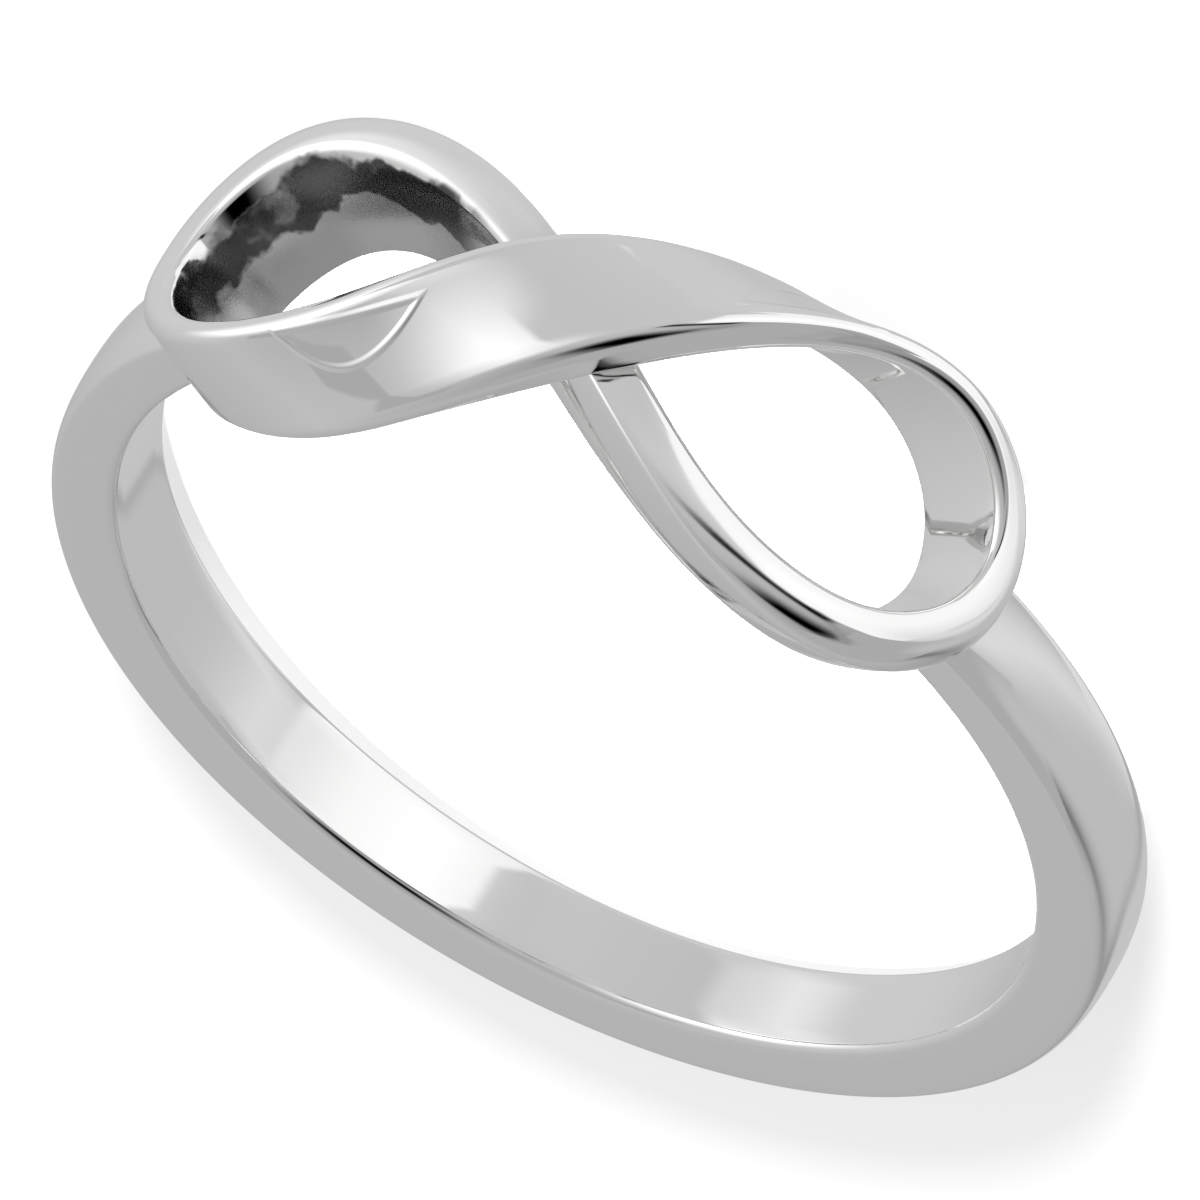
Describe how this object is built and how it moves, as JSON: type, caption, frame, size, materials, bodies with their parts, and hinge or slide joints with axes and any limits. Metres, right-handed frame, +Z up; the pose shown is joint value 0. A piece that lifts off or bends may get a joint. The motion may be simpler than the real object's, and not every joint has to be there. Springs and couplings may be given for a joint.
{
  "type": "infinity ring",
  "caption": "Slim polished finger ring whose top is a twisted ribbon forming a sideways figure eight.",
  "frame": {"origin": "centre of the finger hole, in the middle of the shank's width", "axes": "+Z is up as the ring rests on its side. The finger axis is tipped 6.0 degrees from +Z, away from the head. +Y points from the finger hole to the infinity head, and +X to the head's right end"},
  "size_m": [0.02, 0.0213, 0.0059],
  "materials": {
    "silver": "polished"
  },
  "bodies": {
    "root": {"ring": "silver"}
  },
  "joints": []
}
